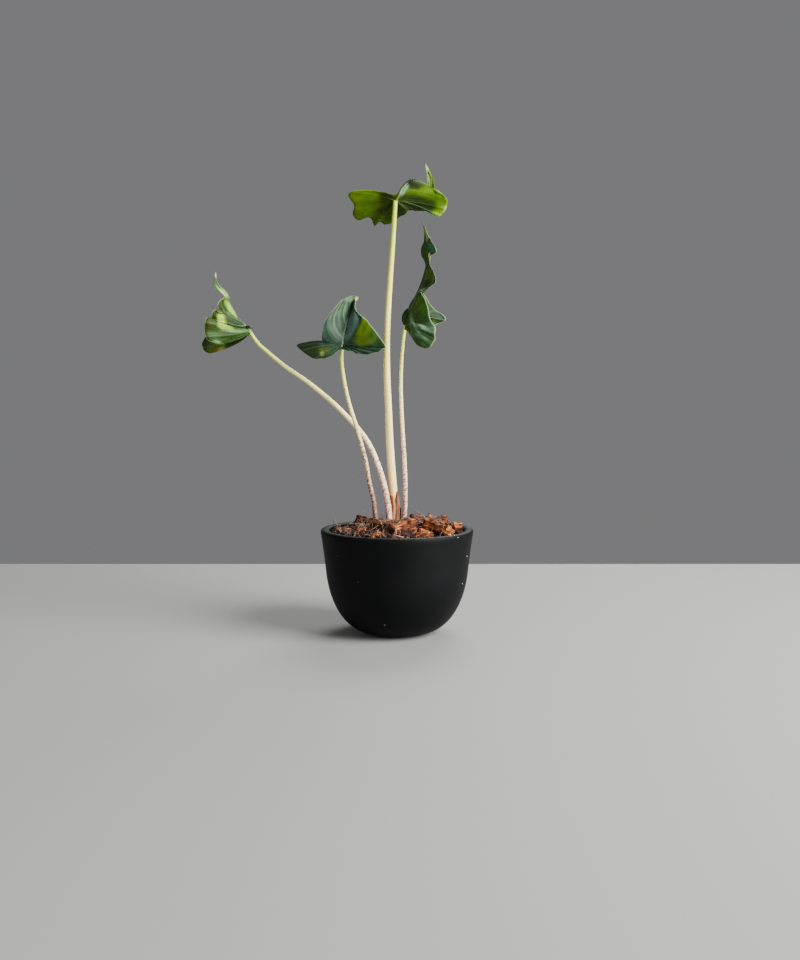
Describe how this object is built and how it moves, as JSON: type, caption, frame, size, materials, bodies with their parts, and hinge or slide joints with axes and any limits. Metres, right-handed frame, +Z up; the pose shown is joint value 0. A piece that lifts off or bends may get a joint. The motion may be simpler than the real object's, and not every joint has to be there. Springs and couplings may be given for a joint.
{
  "type": "potted alocasia plant",
  "caption": "Young potted alocasia with curled and folded leaves on tall speckled stalks, in a black bowl pot topped with coconut husk chips.",
  "frame": {"origin": "centre of the pot's flat underside", "axes": "+Z up along the pot's axis, +X to the right and +Y away, seen from the front"},
  "size_m": [0.1789, 0.0994, 0.3036],
  "materials": {
    "pot": "smooth satin black",
    "husk": "rough fibrous husk",
    "corm": "dull, rooty",
    "sheath": "dry and papery",
    "stub": "dry and dark",
    "stalk_cream": "living stalk, satin",
    "stalk_pink": "living stalk, speckled",
    "leaf_bright": "living leaf, satin",
    "leaf_dark": "living leaf, waxy"
  },
  "bodies": {
    "root": {"pot": "pot", "potting_mix": "husk", "corm": "corm", "dry_sheath": "sheath", "old_leaf_stub": "stub", "petiole_center": "stalk_cream", "petiole_right": "stalk_pink", "petiole_far_left": "stalk_pink", "petiole_mid_left": "stalk_pink", "leaf_top": "leaf_bright", "leaf_mid_left": "leaf_dark", "leaf_far_left": "leaf_dark", "leaf_right": "leaf_dark"}
  },
  "joints": []
}
